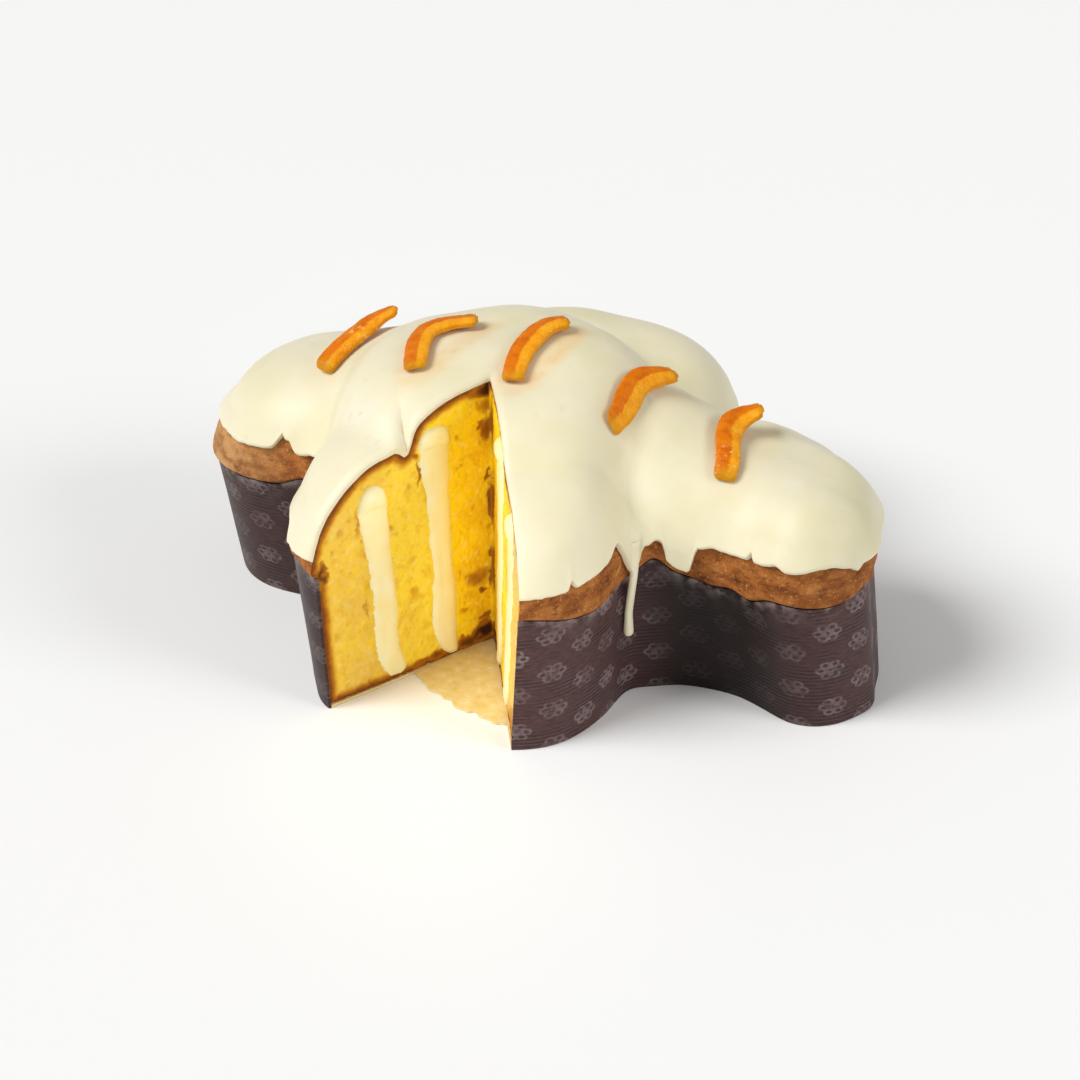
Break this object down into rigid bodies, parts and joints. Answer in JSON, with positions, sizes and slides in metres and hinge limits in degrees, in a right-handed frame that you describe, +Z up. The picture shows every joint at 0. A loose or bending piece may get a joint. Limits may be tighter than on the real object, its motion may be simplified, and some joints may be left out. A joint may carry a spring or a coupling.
{
  "type": "colomba easter bread",
  "caption": "Dove-shaped iced Easter loaf in its printed paper case, with candied orange peel on top and a slice cut out of one wing.",
  "frame": {"origin": "middle of the footprint, on the surface that the paper case stands on", "axes": "+Z up; -X towards the dove's head, +X towards its tail; -Y towards the wing with the slice cut out"},
  "size_m": [0.2956, 0.217, 0.1321],
  "materials": {
    "bread": "matte",
    "icing": "satin",
    "cream": "satin",
    "candied_peel": "gloss",
    "printed_paper": "matte",
    "plain_paper": "matte"
  },
  "bodies": {
    "root": {"bread": "bread", "icing": "icing", "cream_left_outer": "cream", "cream_left_inner": "cream", "cream_right_outer": "cream", "cream_right_inner": "cream", "peel_1": "candied_peel", "peel_2": "candied_peel", "peel_3": "candied_peel", "peel_4": "candied_peel", "peel_5": "candied_peel", "case_wall": "printed_paper", "case_base": "plain_paper"}
  },
  "joints": []
}
